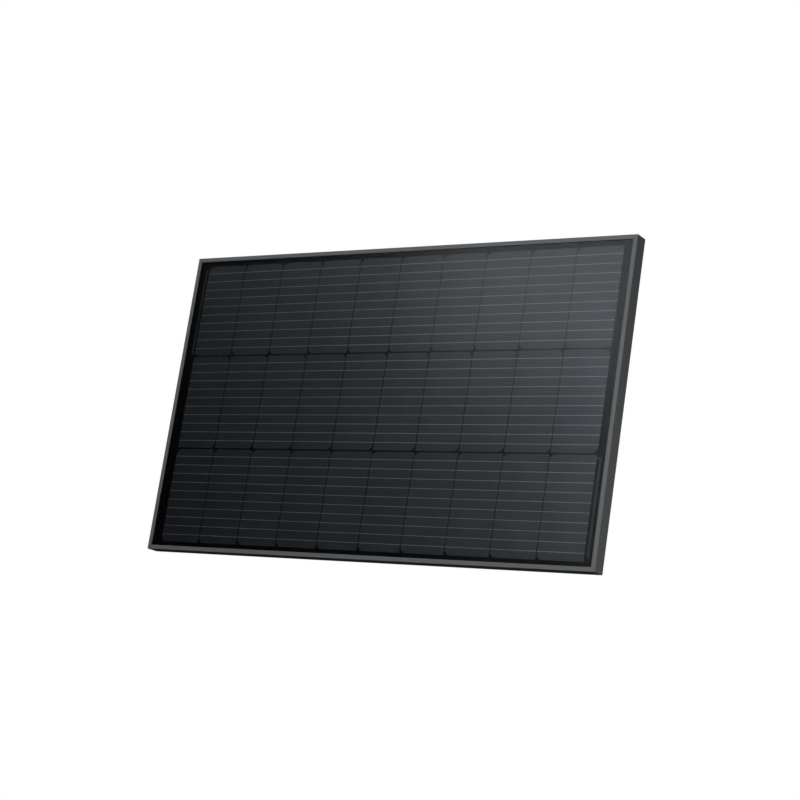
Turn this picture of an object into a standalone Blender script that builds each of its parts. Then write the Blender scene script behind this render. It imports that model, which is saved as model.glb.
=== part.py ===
"""Framed solar panel: thirty half cells laminated behind glass, in an aluminium frame.

The panel stands upright and faces -Y, with +X along its long side and +Z up.
The origin is the middle of the plane in which the frame's rear flanges lie.
Metres throughout. Depths are measured back from the front face of the frame.
"""

import math

import bmesh
import bpy
from mathutils import Matrix, Vector

# ---------------------------------------------------------------- driving dimensions

PANEL_WIDTH = 0.976
PANEL_HEIGHT = 0.586
PANEL_DEPTH = 0.028

FACE_GAP = 0.0001  # between bonded flat layers
FIT_GAP = 0.0003  # between pieces that sit in or on each other

# Frame extrusion, across its section.
WALL = 0.0016
LIP_WIDTH = 0.008
LIP_THICKNESS = 0.0016
SHELF_THICKNESS = 0.0014
INNER_WALL = 0.0014
CHAMBER_WIDTH = 0.008
FLANGE_WIDTH = 0.025
FLANGE_THICKNESS = 0.0015
OUTER_EDGE_RADIUS = 0.0008
LIP_EDGE_RADIUS = 0.0005
REAR_EDGE_RADIUS = 0.0005

# Holes in the rear flange.
SLOT_LENGTH = 0.012
SLOT_WIDTH = 0.008
SLOT_SPACING = 0.560
SLOT_INSET = 0.018
GROUND_HOLE_RADIUS = 0.0022
GROUND_HOLE_OFFSET = 0.060
DRAIN_LENGTH = 0.010
DRAIN_WIDTH = 0.004
DRAIN_INSET = 0.0056
DRAIN_FROM_CORNER = 0.070

# Corner keys, pressed into the frame's chambers.
KEY_ARM = 0.032
KEY_TIP = 0.001
KEY_HEEL = 0.003
KEY_HEEL_STEP = 0.001
KEY_TEETH = 6
KEY_TOOTH_DEPTH = 0.0004
KEY_TOOTH_SHARE = 0.9  # of the teeth's pitch

# Laminate, front to back.
SEAL_THICKNESS = 0.0004
SEAL_WEB = 0.0007
LAMINATE_INSET = 0.003
GLASS_THICKNESS = 0.0032
FRONT_SHEET_THICKNESS = 0.0005
CELL_THICKNESS = 0.00025
REAR_SHEET_THICKNESS = 0.0008
BACKSHEET_THICKNESS = 0.00035
SHEET_MARGIN = 0.001
LAMINATE_CORNER_RADIUS = 0.002

# Cells: round wafers cut to pseudo-squares and then in half.
WAFER_SIDE = 0.182
WAFER_DIAMETER = 0.247
COLUMNS = 10
ROWS = 3
COLUMN_PITCH = 0.0924
ROW_PITCH = 0.185

# Flat copper ribbons that join the strings and lead out of the laminate.
RIBBON_WIDTH = 0.005
RIBBON_THICKNESS = 0.00025
RIBBON_FROM_CELLS = 0.0066
RIBBON_END_INSET = 0.006
RIBBON_REAR_TURN = 0.100
TAB_WIDTH = 0.0046
TAB_THICKNESS = 0.0003
TAB_SLOT_WIDTH = 0.0066
TAB_SLOT_HEIGHT = 0.0022

# Junction box on the backsheet. Its depths are from the frame's front face too.
BOX_X = -0.375
BOX_Z = 0.0
BOX_WIDTH = 0.096
BOX_HEIGHT = 0.066
BOX_CORNER_RADIUS = 0.005
BOX_LEAST_RADIUS = 0.001
BOX_WALL = 0.002
BOX_FLOOR = 0.002
BOX_RIM_DEPTH = 0.0226
BOX_FLOOR_CHAMFER = 0.0006
BOX_RIM_CHAMFER = 0.0003
ADHESIVE_THICKNESS = 0.001
ADHESIVE_WIDTH = 0.007
WINDOW_WIDTH = 0.052
WINDOW_LOW = 0.005
WINDOW_HIGH = 0.015
TAB_Z = 0.010
TAB_TOP_DEPTH = 0.015
TERMINAL_X = 0.020

GASKET_THICKNESS = 0.0006
GASKET_WIDTH = 0.0014

LID_THICKNESS = 0.002
LID_SKIRT = 0.0019
LID_SKIRT_DEPTH = 0.0215
LID_CLEARANCE = 0.0006
LID_EDGE_RADIUS = 0.0008
LID_EDGE_KNEE = 0.00024
LID_BORDER = 0.0035
LID_RECESS = 0.0005
LID_TAB_WIDTH = 0.016
LID_TAB_REACH = 0.003

HINGE_Z = 0.0385
HINGE_DEPTH = 0.0215
PIN_RADIUS = 0.001
PIN_BORE_RADIUS = 0.0013
PIN_HALF_LENGTH = 0.0322
BARREL_RADIUS = 0.0026
BARREL_HALF_LENGTH = 0.026
LUG_WIDTH = 0.0055
LUG_ROOT_LENGTH = 0.0078
LUG_ROOT_SETBACK = 0.0002
LUG_CUT_HALF_WIDTH = 0.035

GLAND_X = 0.022
GLAND_DEPTH = 0.0154
NECK_RADIUS = 0.0056
NECK_LENGTH = 0.0135
NECK_SEAT_RADIUS = 0.0046
NECK_SEAT_LENGTH = 0.0085
CABLE_BORE_RADIUS = 0.0033
SEAL_BORE_RADIUS = 0.0031
GLAND_SEAL_RADIUS = 0.0043
NUT_RADIUS = 0.0070
NUT_GRIP_DEPTH = 0.0005
NUT_GRIPS = 12
NUT_NOSE = 0.0030
NUT_BORE_RADIUS = 0.0059
NUT_LENGTH = 0.0132
NUT_END = 0.0025
NUT_FROM_BOX = 0.0038

# Contact pieces inside the junction box, in z from its middle and in height over its floor.
TERMINAL_WIDTH = 0.010
TERMINAL_LOW_Z = -0.015
TERMINAL_HIGH_Z = -0.005
TERMINAL_HEIGHT = 0.0056
TONGUE_LOW = 0.001
TONGUE_HIGH = 0.0022
TONGUE_TIP = 0.0046
TONGUE_THICKNESS = 0.0012
TONGUE_FROM_TAB = 0.0007
SCREW_Z = -0.010
SCREW_RADIUS = 0.0027
SCREW_HEAD = 0.0018
SCREW_SLOT = 0.0008
DIODE_RADIUS = 0.0026
DIODE_LENGTH = 0.0095
DIODE_LEAD_RADIUS = 0.00055

# Rating label on the backsheet, left blank.
LABEL_WIDTH = 0.130
LABEL_HEIGHT = 0.090
LABEL_THICKNESS = 0.00015
LABEL_X = -0.160
LABEL_Z = 0.0

ARC_STEPS = 4
HALF_ROUND_STEPS = 8
SMALL_ROUND_STEPS = 16
ROUND_STEPS = 32

# ---------------------------------------------------------------- derived depths

GROOVE_FRONT = LIP_THICKNESS
GLASS_FRONT = GROOVE_FRONT + SEAL_THICKNESS + 2 * FACE_GAP
GLASS_BACK = GLASS_FRONT + GLASS_THICKNESS
FRONT_SHEET_FRONT = GLASS_BACK + FACE_GAP
FRONT_SHEET_BACK = FRONT_SHEET_FRONT + FRONT_SHEET_THICKNESS
CELL_FRONT = FRONT_SHEET_BACK + FACE_GAP
CELL_BACK = CELL_FRONT + CELL_THICKNESS
REAR_SHEET_FRONT = CELL_BACK + FACE_GAP
REAR_SHEET_BACK = REAR_SHEET_FRONT + REAR_SHEET_THICKNESS
RIBBON_FRONT = REAR_SHEET_FRONT + FACE_GAP
RIBBON_BACK = RIBBON_FRONT + RIBBON_THICKNESS
BACKSHEET_FRONT = REAR_SHEET_BACK + FACE_GAP
BACKSHEET_BACK = BACKSHEET_FRONT + BACKSHEET_THICKNESS
GROOVE_BACK = BACKSHEET_BACK + SEAL_THICKNESS + 2 * FACE_GAP
CHAMBER_FRONT = GROOVE_BACK + SHELF_THICKNESS
CHAMBER_BACK = PANEL_DEPTH - FLANGE_THICKNESS
SHELF_REACH = WALL + CHAMBER_WIDTH + INNER_WALL

ADHESIVE_FRONT = BACKSHEET_BACK + FACE_GAP
ADHESIVE_BACK = ADHESIVE_FRONT + ADHESIVE_THICKNESS
BOX_BACK_OF_FLOOR = ADHESIVE_BACK + FACE_GAP
FLOOR_TOP = BOX_BACK_OF_FLOOR + BOX_FLOOR
GASKET_FRONT = BOX_RIM_DEPTH + FIT_GAP
LID_UNDERSIDE = GASKET_FRONT + GASKET_THICKNESS + FIT_GAP
LID_TOP = LID_UNDERSIDE + LID_THICKNESS

CELL_WIDTH = WAFER_SIDE / 2
CELL_AREA_RIGHT = (COLUMNS - 1) / 2 * COLUMN_PITCH + CELL_WIDTH / 2
RIBBON_X = CELL_AREA_RIGHT + RIBBON_FROM_CELLS

# ---------------------------------------------------------------- scene and materials


def clear_scene():
    for obj in list(bpy.data.objects):
        bpy.data.objects.remove(obj, do_unlink=True)


def finish(name, colour, roughness, metallic=0.0):
    """A Principled material of one colour."""
    material = bpy.data.materials.new(name)
    material.use_nodes = True
    shader = material.node_tree.nodes["Principled BSDF"]
    shader.inputs["Base Color"].default_value = (*colour, 1.0)
    shader.inputs["Roughness"].default_value = roughness
    shader.inputs["Metallic"].default_value = metallic
    return material


def make_finishes():
    return {
        "anodised": finish("anodised_black", (0.03, 0.03, 0.032), 0.45, 0.8),
        "aluminium": finish("bare_aluminium", (0.72, 0.73, 0.74), 0.4, 1.0),
        "glass": finish("tempered_glass", (0.55, 0.6, 0.6), 0.05),
        "clear_film": finish("clear_encapsulant", (0.7, 0.72, 0.72), 0.3),
        "black_film": finish("black_encapsulant", (0.012, 0.012, 0.014), 0.6),
        "silicon": finish("silicon_cell", (0.03, 0.035, 0.045), 0.3),
        "ribbon": finish("coated_ribbon", (0.02, 0.02, 0.022), 0.5, 0.5),
        "backsheet": finish("white_backsheet", (0.78, 0.78, 0.76), 0.6),
        "rubber": finish("black_rubber", (0.02, 0.02, 0.02), 0.8),
        "silicone": finish("grey_silicone", (0.25, 0.25, 0.25), 0.7),
        "box_plastic": finish("black_moulding", (0.025, 0.025, 0.027), 0.5),
        "brass": finish("plated_brass", (0.7, 0.6, 0.35), 0.3, 1.0),
        "steel": finish("steel", (0.6, 0.6, 0.6), 0.3, 1.0),
        "diode": finish("diode_body", (0.05, 0.05, 0.05), 0.4),
        "label": finish("label_film", (0.7, 0.7, 0.7), 0.4),
    }


# ---------------------------------------------------------------- outlines


def at_depth(x, depth, z):
    """A point of the panel, from its depth behind the frame's front face."""
    return Vector((x, depth - PANEL_DEPTH, z))


def arc(centre, radius, start, end, steps=ARC_STEPS):
    """Points along an arc, with its angles in degrees."""
    angles = (math.radians(start + (end - start) * i / steps) for i in range(steps + 1))
    return [
        (centre[0] + radius * math.cos(a), centre[1] + radius * math.sin(a))
        for a in angles
    ]


def rounded_rectangle(width, height, radius):
    points = []
    for turn, (side_x, side_z) in enumerate(((1, 1), (-1, 1), (-1, -1), (1, -1))):
        centre = (side_x * (width / 2 - radius), side_z * (height / 2 - radius))
        points += arc(centre, radius, 90 * turn, 90 * turn + 90)
    return points


def rectangle(low_x, high_x, low_z, high_z):
    return [(low_x, low_z), (high_x, low_z), (high_x, high_z), (low_x, high_z)]


def stadium(length, width):
    """A slot's outline, long in its first coordinate."""
    reach = (length - width) / 2
    radius = width / 2
    near_end = arc((reach, 0), radius, -90, 90, HALF_ROUND_STEPS)
    far_end = arc((-reach, 0), radius, 90, 270, HALF_ROUND_STEPS)
    return near_end + far_end


def circle(radius, steps=ROUND_STEPS):
    turn = 2 * math.pi / steps
    return [(radius * math.cos(turn * i), radius * math.sin(turn * i)) for i in range(steps)]


def moved(outline, x, z):
    return [(x + px, z + pz) for px, pz in outline]


def strip(path, width, overshoot=0.0):
    """The outline of a flat ribbon of this width along a path of straight runs."""
    points = [Vector(p) for p in path]
    points[0] += (points[0] - points[1]).normalized() * overshoot
    points[-1] += (points[-1] - points[-2]).normalized() * overshoot
    left, right = [], []
    for i, point in enumerate(points):
        before = (point - points[i - 1]).normalized() if i > 0 else None
        after = (points[i + 1] - point).normalized() if i < len(points) - 1 else None
        runs = [run for run in (before, after) if run is not None]
        sides = [Vector((-run.y, run.x)) for run in runs]
        side = sum(sides, Vector((0, 0)))
        side *= width / 2 * len(sides) / side.length_squared
        left.append(point + side)
        right.append(point - side)
    return [(p.x, p.y) for p in left + right[::-1]]


# ---------------------------------------------------------------- solids


def loft(name, rings, material, closed=False):
    """One closed body through rings of equally many points.

    Its first and last rings are capped, or joined to each other when closed.
    """
    form = bmesh.new()
    made = [[form.verts.new(point) for point in ring] for ring in rings]
    pairs = list(zip(made, made[1:]))
    if closed:
        pairs.append((made[-1], made[0]))
    else:
        form.faces.new(made[0])
        form.faces.new(made[-1])
    for ring, other in pairs:
        for i in range(len(ring)):
            k = (i + 1) % len(ring)
            form.faces.new((ring[i], ring[k], other[k], other[i]))
    bmesh.ops.recalc_face_normals(form, faces=form.faces)
    mesh = bpy.data.meshes.new(name)
    form.to_mesh(mesh)
    form.free()
    obj = bpy.data.objects.new(name, mesh)
    bpy.context.scene.collection.objects.link(obj)
    if material:
        mesh.materials.append(material)
    return obj


def plate(name, outline, front, back, material):
    """A flat plate between two depths, from its outline in x and z."""
    rings = [[at_depth(x, depth, z) for x, z in outline] for depth in (front, back)]
    return loft(name, rings, material)


def stack(name, levels, material, centre=(0.0, 0.0)):
    """A body through outlines of equally many points, each at its own depth."""
    rings = [
        [at_depth(centre[0] + x, depth, centre[1] + z) for x, z in outline]
        for outline, depth in levels
    ]
    return loft(name, rings, material)


def frame_ring(name, outer, inner, front, back, material, centre=(0.0, 0.0)):
    """A flat ring between two outlines of equally many points."""
    levels = ((outer, front), (outer, back), (inner, back), (inner, front))
    rings = [
        [at_depth(centre[0] + x, depth, centre[1] + z) for x, z in outline]
        for outline, depth in levels
    ]
    return loft(name, rings, material, closed=True)


def turned(name, profile, place, material, closed=False, steps=ROUND_STEPS):
    """A turned body. The profile holds (radius, distance along the axis) pairs.

    place turns (across, up, along) into a point of the panel.
    """
    rings = [
        [place(x, y, along) for x, y in circle(radius, steps)] for radius, along in profile
    ]
    obj = loft(name, rings, material, closed)
    smooth(obj)
    return obj


def smooth(obj, degrees=35):
    obj.data.shade_smooth()
    obj.data.set_sharp_from_angle(angle=math.radians(degrees))


def as_tool(obj):
    """A cutter or an added shape: it shapes other objects and isn't a piece itself."""
    obj.hide_render = True
    obj.display_type = "WIRE"
    return obj


def boolean(obj, tool, operation):
    modifier = obj.modifiers.new(f"{operation.lower()}_{tool.name}", "BOOLEAN")
    modifier.operation = operation
    modifier.solver = "EXACT"
    modifier.object = as_tool(tool)


def cut(obj, tool):
    boolean(obj, tool, "DIFFERENCE")


def add(obj, tool):
    boolean(obj, tool, "UNION")


def set_origin(obj, point):
    """Moves an object's origin without moving its shape."""
    obj.data.transform(Matrix.Translation(-point))
    obj.location = point


# ---------------------------------------------------------------- frame


def rail_section():
    """The extrusion's outer outline: (distance in from the outer face, depth)."""
    return (
        arc((OUTER_EDGE_RADIUS,) * 2, OUTER_EDGE_RADIUS, 180, 270)
        + arc((LIP_WIDTH - LIP_EDGE_RADIUS, LIP_EDGE_RADIUS), LIP_EDGE_RADIUS, -90, 0)
        + [
            (LIP_WIDTH, LIP_THICKNESS),
            (WALL, LIP_THICKNESS),
            (WALL, GROOVE_BACK),
            (SHELF_REACH, GROOVE_BACK),
            (SHELF_REACH, CHAMBER_BACK),
            (FLANGE_WIDTH, CHAMBER_BACK),
            (FLANGE_WIDTH, PANEL_DEPTH),
        ]
        + arc(
            (REAR_EDGE_RADIUS, PANEL_DEPTH - REAR_EDGE_RADIUS), REAR_EDGE_RADIUS, 90, 180
        )
    )


def rail_hole(name, outline, along, inset, half_across):
    """A cutter through the rear flange, at a place along the rail."""
    return plate(
        name,
        moved(outline, along, inset - half_across),
        CHAMBER_BACK - FLANGE_THICKNESS,
        PANEL_DEPTH + FLANGE_THICKNESS,
        None,
    )


def rail(name, run, across, turn, holes, material):
    """One mitred side of the frame, drawn as the bottom side and then turned.

    run is the side's length and across the frame's size the other way. holes
    holds (outline, place along the side, distance in from the outer face).
    """
    mitre_gap = FIT_GAP / math.sqrt(2)
    rings = []
    for end in (-1, 1):
        rings.append(
            [
                at_depth(end * (run / 2 - mitre_gap - inset), depth, inset - across / 2)
                for inset, depth in rail_section()
            ]
        )
    obj = loft(name, rings, material)
    smooth(obj)
    low, high = WALL - across / 2, WALL + CHAMBER_WIDTH - across / 2
    tools = [
        plate(
            f"{name}_chamber",
            rectangle(-run / 2, run / 2, low, high),
            CHAMBER_FRONT,
            CHAMBER_BACK,
            None,
        )
    ]
    for number, (outline, along, inset) in enumerate(holes):
        tools.append(rail_hole(f"{name}_hole_{number}", outline, along, inset, across / 2))
    for piece in [obj, *tools]:
        piece.rotation_euler = (0, math.radians(turn), 0)
    for tool in tools:
        cut(obj, tool)


def long_rail_holes():
    slot = stadium(SLOT_LENGTH, SLOT_WIDTH)
    hole = circle(GROUND_HOLE_RADIUS, SMALL_ROUND_STEPS)
    return [
        (slot, -SLOT_SPACING / 2, SLOT_INSET),
        (slot, SLOT_SPACING / 2, SLOT_INSET),
        (hole, GROUND_HOLE_OFFSET, SLOT_INSET),
    ]


def short_rail_holes():
    drain = stadium(DRAIN_LENGTH, DRAIN_WIDTH)
    reach = PANEL_HEIGHT / 2 - DRAIN_FROM_CORNER
    return [(drain, -reach, DRAIN_INSET), (drain, reach, DRAIN_INSET)]


def key_outline():
    """An L in x and z from the frame's lower left outer corner, toothed along its arms."""
    near = WALL + FIT_GAP
    far = WALL + CHAMBER_WIDTH - FIT_GAP
    start = far + KEY_HEEL
    pitch = (KEY_ARM - start) / KEY_TEETH
    outer_teeth = []
    inner_teeth = []
    for tooth in range(KEY_TEETH):
        foot = start + tooth * pitch
        crest = foot + pitch * KEY_TOOTH_SHARE
        outer_teeth += [(foot, near + KEY_TOOTH_DEPTH), (crest, near)]
        inner_teeth += [(foot, far - KEY_TOOTH_DEPTH), (crest, far)]
    end = KEY_ARM + KEY_TIP
    tip = [(end, near + KEY_TOOTH_DEPTH), (end, far - KEY_TOOTH_DEPTH)]
    heel = start - KEY_HEEL_STEP
    arm = [(heel, near), *outer_teeth, *tip, *inner_teeth[::-1], (heel, far)]
    other_arm = [(z, x) for x, z in arm[::-1]]
    return [(near, near), *arm, (far, far), *other_arm]


def corner_key(name, side_x, side_z, material):
    outline = [
        (side_x * (PANEL_WIDTH / 2 - x), side_z * (PANEL_HEIGHT / 2 - z))
        for x, z in key_outline()
    ]
    plate(name, outline, CHAMBER_FRONT + FIT_GAP, CHAMBER_BACK - FIT_GAP, material)


def edge_seal(material):
    """A soft channel round the laminate's edge, in the frame's groove."""
    outer = WALL + FIT_GAP
    web = outer + SEAL_WEB
    front_reach = LIP_WIDTH - SEAL_THICKNESS
    back_reach = SHELF_REACH - SEAL_THICKNESS
    front = GROOVE_FRONT + FACE_GAP
    back = GROOVE_BACK - FACE_GAP
    section = (
        (outer, front),
        (front_reach, front),
        (front_reach, front + SEAL_THICKNESS),
        (web, front + SEAL_THICKNESS),
        (web, back - SEAL_THICKNESS),
        (back_reach, back - SEAL_THICKNESS),
        (back_reach, back),
        (outer, back),
    )
    rings = []
    for side_x, side_z in ((1, 1), (-1, 1), (-1, -1), (1, -1)):
        rings.append(
            [
                at_depth(
                    side_x * (PANEL_WIDTH / 2 - inset),
                    depth,
                    side_z * (PANEL_HEIGHT / 2 - inset),
                )
                for inset, depth in section
            ]
        )
    loft("edge_seal", rings, material, closed=True)


def make_frame(finishes):
    anodised = finishes["anodised"]
    long_side = (PANEL_WIDTH, PANEL_HEIGHT)
    short_side = (PANEL_HEIGHT, PANEL_WIDTH)
    rail("frame_rail_bottom", *long_side, 0, long_rail_holes(), anodised)
    rail("frame_rail_right", *short_side, -90, short_rail_holes(), anodised)
    rail("frame_rail_top", *long_side, 180, long_rail_holes(), anodised)
    rail("frame_rail_left", *short_side, 90, short_rail_holes(), anodised)
    for word_z, side_z in (("bottom", -1), ("top", 1)):
        for word_x, side_x in (("left", -1), ("right", 1)):
            corner_key(f"corner_key_{word_z}_{word_x}", side_x, side_z, finishes["aluminium"])
    edge_seal(finishes["rubber"])


# ---------------------------------------------------------------- laminate


def sheet(name, margin, front, back, material):
    """A sheet of the laminate, this much smaller than the glass all round."""
    inset = 2 * (LAMINATE_INSET + margin)
    outline = rounded_rectangle(
        PANEL_WIDTH - inset, PANEL_HEIGHT - inset, LAMINATE_CORNER_RADIUS
    )
    return plate(name, outline, front, back, material)


def cell_outline(rounded_side):
    """Half a wafer, with the wafer's two round corners at -X or +X."""
    radius = WAFER_DIAMETER / 2
    reach = math.sqrt(radius**2 - CELL_WIDTH**2)
    high = math.degrees(math.atan2(CELL_WIDTH, reach))
    low = math.degrees(math.atan2(reach, CELL_WIDTH))
    corner = arc((-CELL_WIDTH / 2, 0), radius, low, high)
    lower = [(x, -z) for x, z in corner[::-1]]
    cut_edge = [(-CELL_WIDTH / 2, WAFER_SIDE / 2), (-CELL_WIDTH / 2, -WAFER_SIDE / 2)]
    return [(rounded_side * x, z) for x, z in lower + corner + cut_edge]


def make_cells(material):
    """Three strings in series, so every second row is turned end for end."""
    shapes = {}
    for row in range(ROWS):
        rounded_side = 1 if row % 2 else -1
        for column in range(COLUMNS):
            name = f"cell_row{row + 1}_column{column + 1:02d}"
            if rounded_side not in shapes:
                obj = plate(name, cell_outline(rounded_side), CELL_FRONT, CELL_BACK, material)
                shapes[rounded_side] = obj.data
            else:
                obj = bpy.data.objects.new(name, shapes[rounded_side])
                bpy.context.scene.collection.objects.link(obj)
            obj.location = (
                (column - (COLUMNS - 1) / 2) * COLUMN_PITCH,
                0,
                ((ROWS - 1) / 2 - row) * ROW_PITCH,
            )


def ribbon_paths():
    """Where each flat ribbon runs, in x and z, behind the plane of the cells."""
    top = ROW_PITCH + WAFER_SIDE / 2 - RIBBON_END_INSET
    middle = WAFER_SIDE / 2 - RIBBON_END_INSET
    positive_x = BOX_X - TERMINAL_X
    negative_x = BOX_X + TERMINAL_X
    tab_z = BOX_Z + TAB_Z
    return {
        "string_link_right": [(RIBBON_X, top), (RIBBON_X, -middle)],
        "string_link_left": [(-RIBBON_X, middle), (-RIBBON_X, -top)],
        "output_ribbon_positive": [
            (-RIBBON_X, top),
            (-RIBBON_X, RIBBON_REAR_TURN),
            (positive_x, RIBBON_REAR_TURN),
            (positive_x, tab_z),
        ],
        "output_ribbon_negative": [
            (RIBBON_X, -top),
            (RIBBON_X, -RIBBON_REAR_TURN),
            (negative_x, -RIBBON_REAR_TURN),
            (negative_x, tab_z),
        ],
    }


def make_ribbons(material):
    for name, path in ribbon_paths().items():
        ribbon = plate(name, strip(path, RIBBON_WIDTH), RIBBON_FRONT, RIBBON_BACK, material)
        if not name.startswith("output"):
            continue
        (x, end_z), before_z = path[-1], path[-2][1]
        inward = math.copysign(TAB_THICKNESS, before_z - end_z)
        tab_z = sorted((end_z + inward, end_z + 2 * inward))
        tab = plate(
            f"{name}_tab",
            rectangle(x - TAB_WIDTH / 2, x + TAB_WIDTH / 2, *tab_z),
            (RIBBON_FRONT + RIBBON_BACK) / 2,
            TAB_TOP_DEPTH,
            None,
        )
        add(ribbon, tab)


def cut_ribbon_room(rear_sheet, backsheet):
    """The rear sheet flows round the ribbons, and both sheets are slit for the tabs."""
    for name, path in ribbon_paths().items():
        channel = plate(
            f"{name}_channel",
            strip(path, RIBBON_WIDTH + 2 * FIT_GAP, FIT_GAP),
            REAR_SHEET_FRONT - FACE_GAP / 2,
            RIBBON_BACK + FACE_GAP,
            None,
        )
        cut(rear_sheet, channel)
    for x in (BOX_X - TERMINAL_X, BOX_X + TERMINAL_X):
        z = BOX_Z + TAB_Z
        slit = plate(
            "tab_slit",
            rectangle(
                x - TAB_SLOT_WIDTH / 2,
                x + TAB_SLOT_WIDTH / 2,
                z - TAB_SLOT_HEIGHT / 2,
                z + TAB_SLOT_HEIGHT / 2,
            ),
            REAR_SHEET_FRONT - FACE_GAP / 2,
            ADHESIVE_BACK,
            None,
        )
        cut(rear_sheet, slit)
        cut(backsheet, slit)


def make_label(material):
    outline = rounded_rectangle(LABEL_WIDTH, LABEL_HEIGHT, LAMINATE_CORNER_RADIUS)
    front = BACKSHEET_BACK + FACE_GAP
    back = front + LABEL_THICKNESS
    plate("rating_label", moved(outline, LABEL_X, LABEL_Z), front, back, material)


def make_laminate(finishes):
    sheet("front_glass", 0, GLASS_FRONT, GLASS_BACK, finishes["glass"])
    sheet(
        "front_encapsulant",
        SHEET_MARGIN,
        FRONT_SHEET_FRONT,
        FRONT_SHEET_BACK,
        finishes["clear_film"],
    )
    make_cells(finishes["silicon"])
    make_ribbons(finishes["ribbon"])
    rear_sheet = sheet(
        "rear_encapsulant",
        SHEET_MARGIN,
        REAR_SHEET_FRONT,
        REAR_SHEET_BACK,
        finishes["black_film"],
    )
    backsheet = sheet(
        "backsheet", SHEET_MARGIN, BACKSHEET_FRONT, BACKSHEET_BACK, finishes["backsheet"]
    )
    cut_ribbon_room(rear_sheet, backsheet)
    make_label(finishes["label"])


# ---------------------------------------------------------------- junction box


def box_outline(grow=0.0):
    """The junction box's outline, grown or shrunk all round."""
    radius = max(BOX_CORNER_RADIUS + grow, BOX_LEAST_RADIUS)
    return rounded_rectangle(BOX_WIDTH + 2 * grow, BOX_HEIGHT + 2 * grow, radius)


def box_block(name, low_x, high_x, low_z, high_z, front, back):
    outline = moved(rectangle(low_x, high_x, low_z, high_z), BOX_X, BOX_Z)
    return plate(name, outline, front, back, None)


def across_box(depth, z):
    """Places a turned shape whose axis runs along X through the box."""
    return lambda across, up, along: at_depth(BOX_X + along, depth + across, BOX_Z + z + up)


def down_from_box(x):
    """Places a turned shape whose axis runs down out of the box's lower wall."""
    return lambda across, up, along: at_depth(
        BOX_X + x + across, GLAND_DEPTH + up, BOX_Z - BOX_HEIGHT / 2 - along
    )


def rod(name, radius, start, end, place, steps=ROUND_STEPS):
    return turned(name, [(radius, start), (radius, end)], place, None, steps=steps)


def hinge_lug(name, low_x, high_x):
    """A lug on the box's upper wall, round about the hinge pin."""
    nose = arc((HINGE_Z, HINGE_DEPTH), BARREL_RADIUS, -90, 90, HALF_ROUND_STEPS)
    root = BOX_HEIGHT / 2 - BOX_WALL / 2
    root_back = HINGE_DEPTH - LUG_ROOT_SETBACK
    root_front = HINGE_DEPTH - LUG_ROOT_LENGTH
    section = [*nose, (root, root_back), (root, root_front)]
    rings = [
        [at_depth(BOX_X + x, depth, BOX_Z + z) for z, depth in section]
        for x in (low_x, high_x)
    ]
    return loft(name, rings, None)


def make_box_base(material):
    levels = [
        (box_outline(), BOX_BACK_OF_FLOOR),
        (box_outline(), BOX_RIM_DEPTH - BOX_RIM_CHAMFER),
        (box_outline(-BOX_RIM_CHAMFER), BOX_RIM_DEPTH),
        (box_outline(-BOX_WALL), BOX_RIM_DEPTH),
        (box_outline(-BOX_WALL), FLOOR_TOP + BOX_FLOOR_CHAMFER),
        (box_outline(-BOX_WALL - BOX_FLOOR_CHAMFER), FLOOR_TOP),
    ]
    base = stack("junction_box_base", levels, material, (BOX_X, BOX_Z))
    window = box_block(
        "ribbon_window",
        -WINDOW_WIDTH / 2,
        WINDOW_WIDTH / 2,
        WINDOW_LOW,
        WINDOW_HIGH,
        BOX_BACK_OF_FLOOR - BOX_FLOOR,
        FLOOR_TOP + BOX_FLOOR,
    )
    cut(base, window)
    lug_start = BARREL_HALF_LENGTH + FIT_GAP
    lug_end = lug_start + LUG_WIDTH
    add(base, hinge_lug("lug_left", -lug_end, -lug_start))
    add(base, hinge_lug("lug_right", lug_start, lug_end))
    pin_line = across_box(HINGE_DEPTH, HINGE_Z)
    reach = lug_end + LUG_WIDTH
    cut(base, rod("lug_bore", PIN_BORE_RADIUS, -reach, reach, pin_line, SMALL_ROUND_STEPS))
    for word, x in (("left", -GLAND_X), ("right", GLAND_X)):
        place = down_from_box(x)
        add(base, rod(f"neck_{word}", NECK_RADIUS, -BOX_WALL / 2, NECK_LENGTH, place))
        seat_start = NECK_LENGTH - NECK_SEAT_LENGTH
        cut(base, rod(f"seat_{word}", NECK_SEAT_RADIUS, seat_start, 2 * NECK_LENGTH, place))
        cut(base, rod(f"bore_{word}", CABLE_BORE_RADIUS, -2 * BOX_WALL, NECK_LENGTH, place))


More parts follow.
